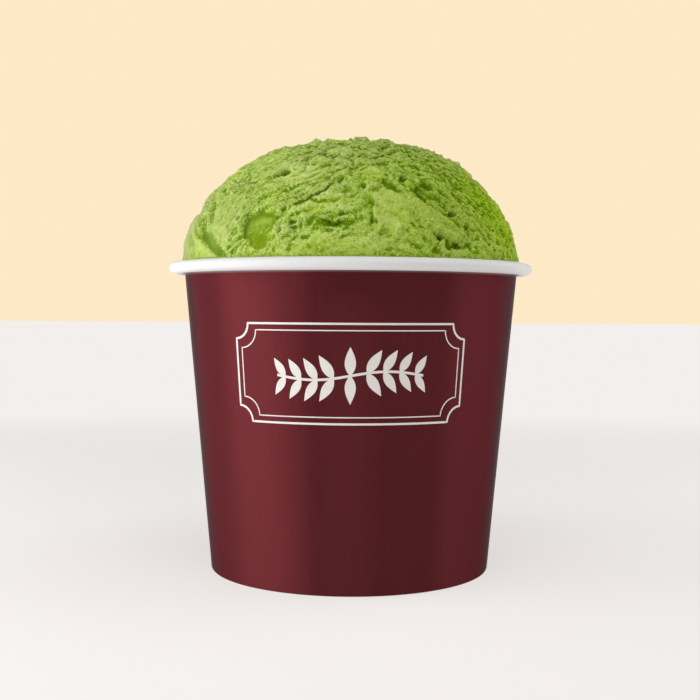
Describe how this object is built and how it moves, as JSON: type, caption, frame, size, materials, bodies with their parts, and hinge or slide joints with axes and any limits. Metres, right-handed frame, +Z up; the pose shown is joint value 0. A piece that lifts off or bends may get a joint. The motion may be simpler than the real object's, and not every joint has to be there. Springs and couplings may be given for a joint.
{
  "type": "pint tub of ice cream",
  "caption": "Round paperboard tub with a rolled white rim, filled with green ice cream heaped in a rough dome above the rim.",
  "frame": {"origin": "centre of the ring that the tub stands on", "axes": "+Z up along the tub's axis; the printed front of the tub faces -Y"},
  "size_m": [0.1042, 0.1042, 0.1231],
  "materials": {
    "red_board": "coated board printed deep wine red outside, satin; bare white inside, on the rolled rim and in the folded foot",
    "white_board": "bare white board, satin",
    "green_cream": "firm frozen green tea ice cream, rough scooped surface, slightly translucent"
  },
  "bodies": {
    "root": {"cup_wall": "red_board", "cup_base": "white_board", "ice_cream": "green_cream"}
  },
  "joints": []
}
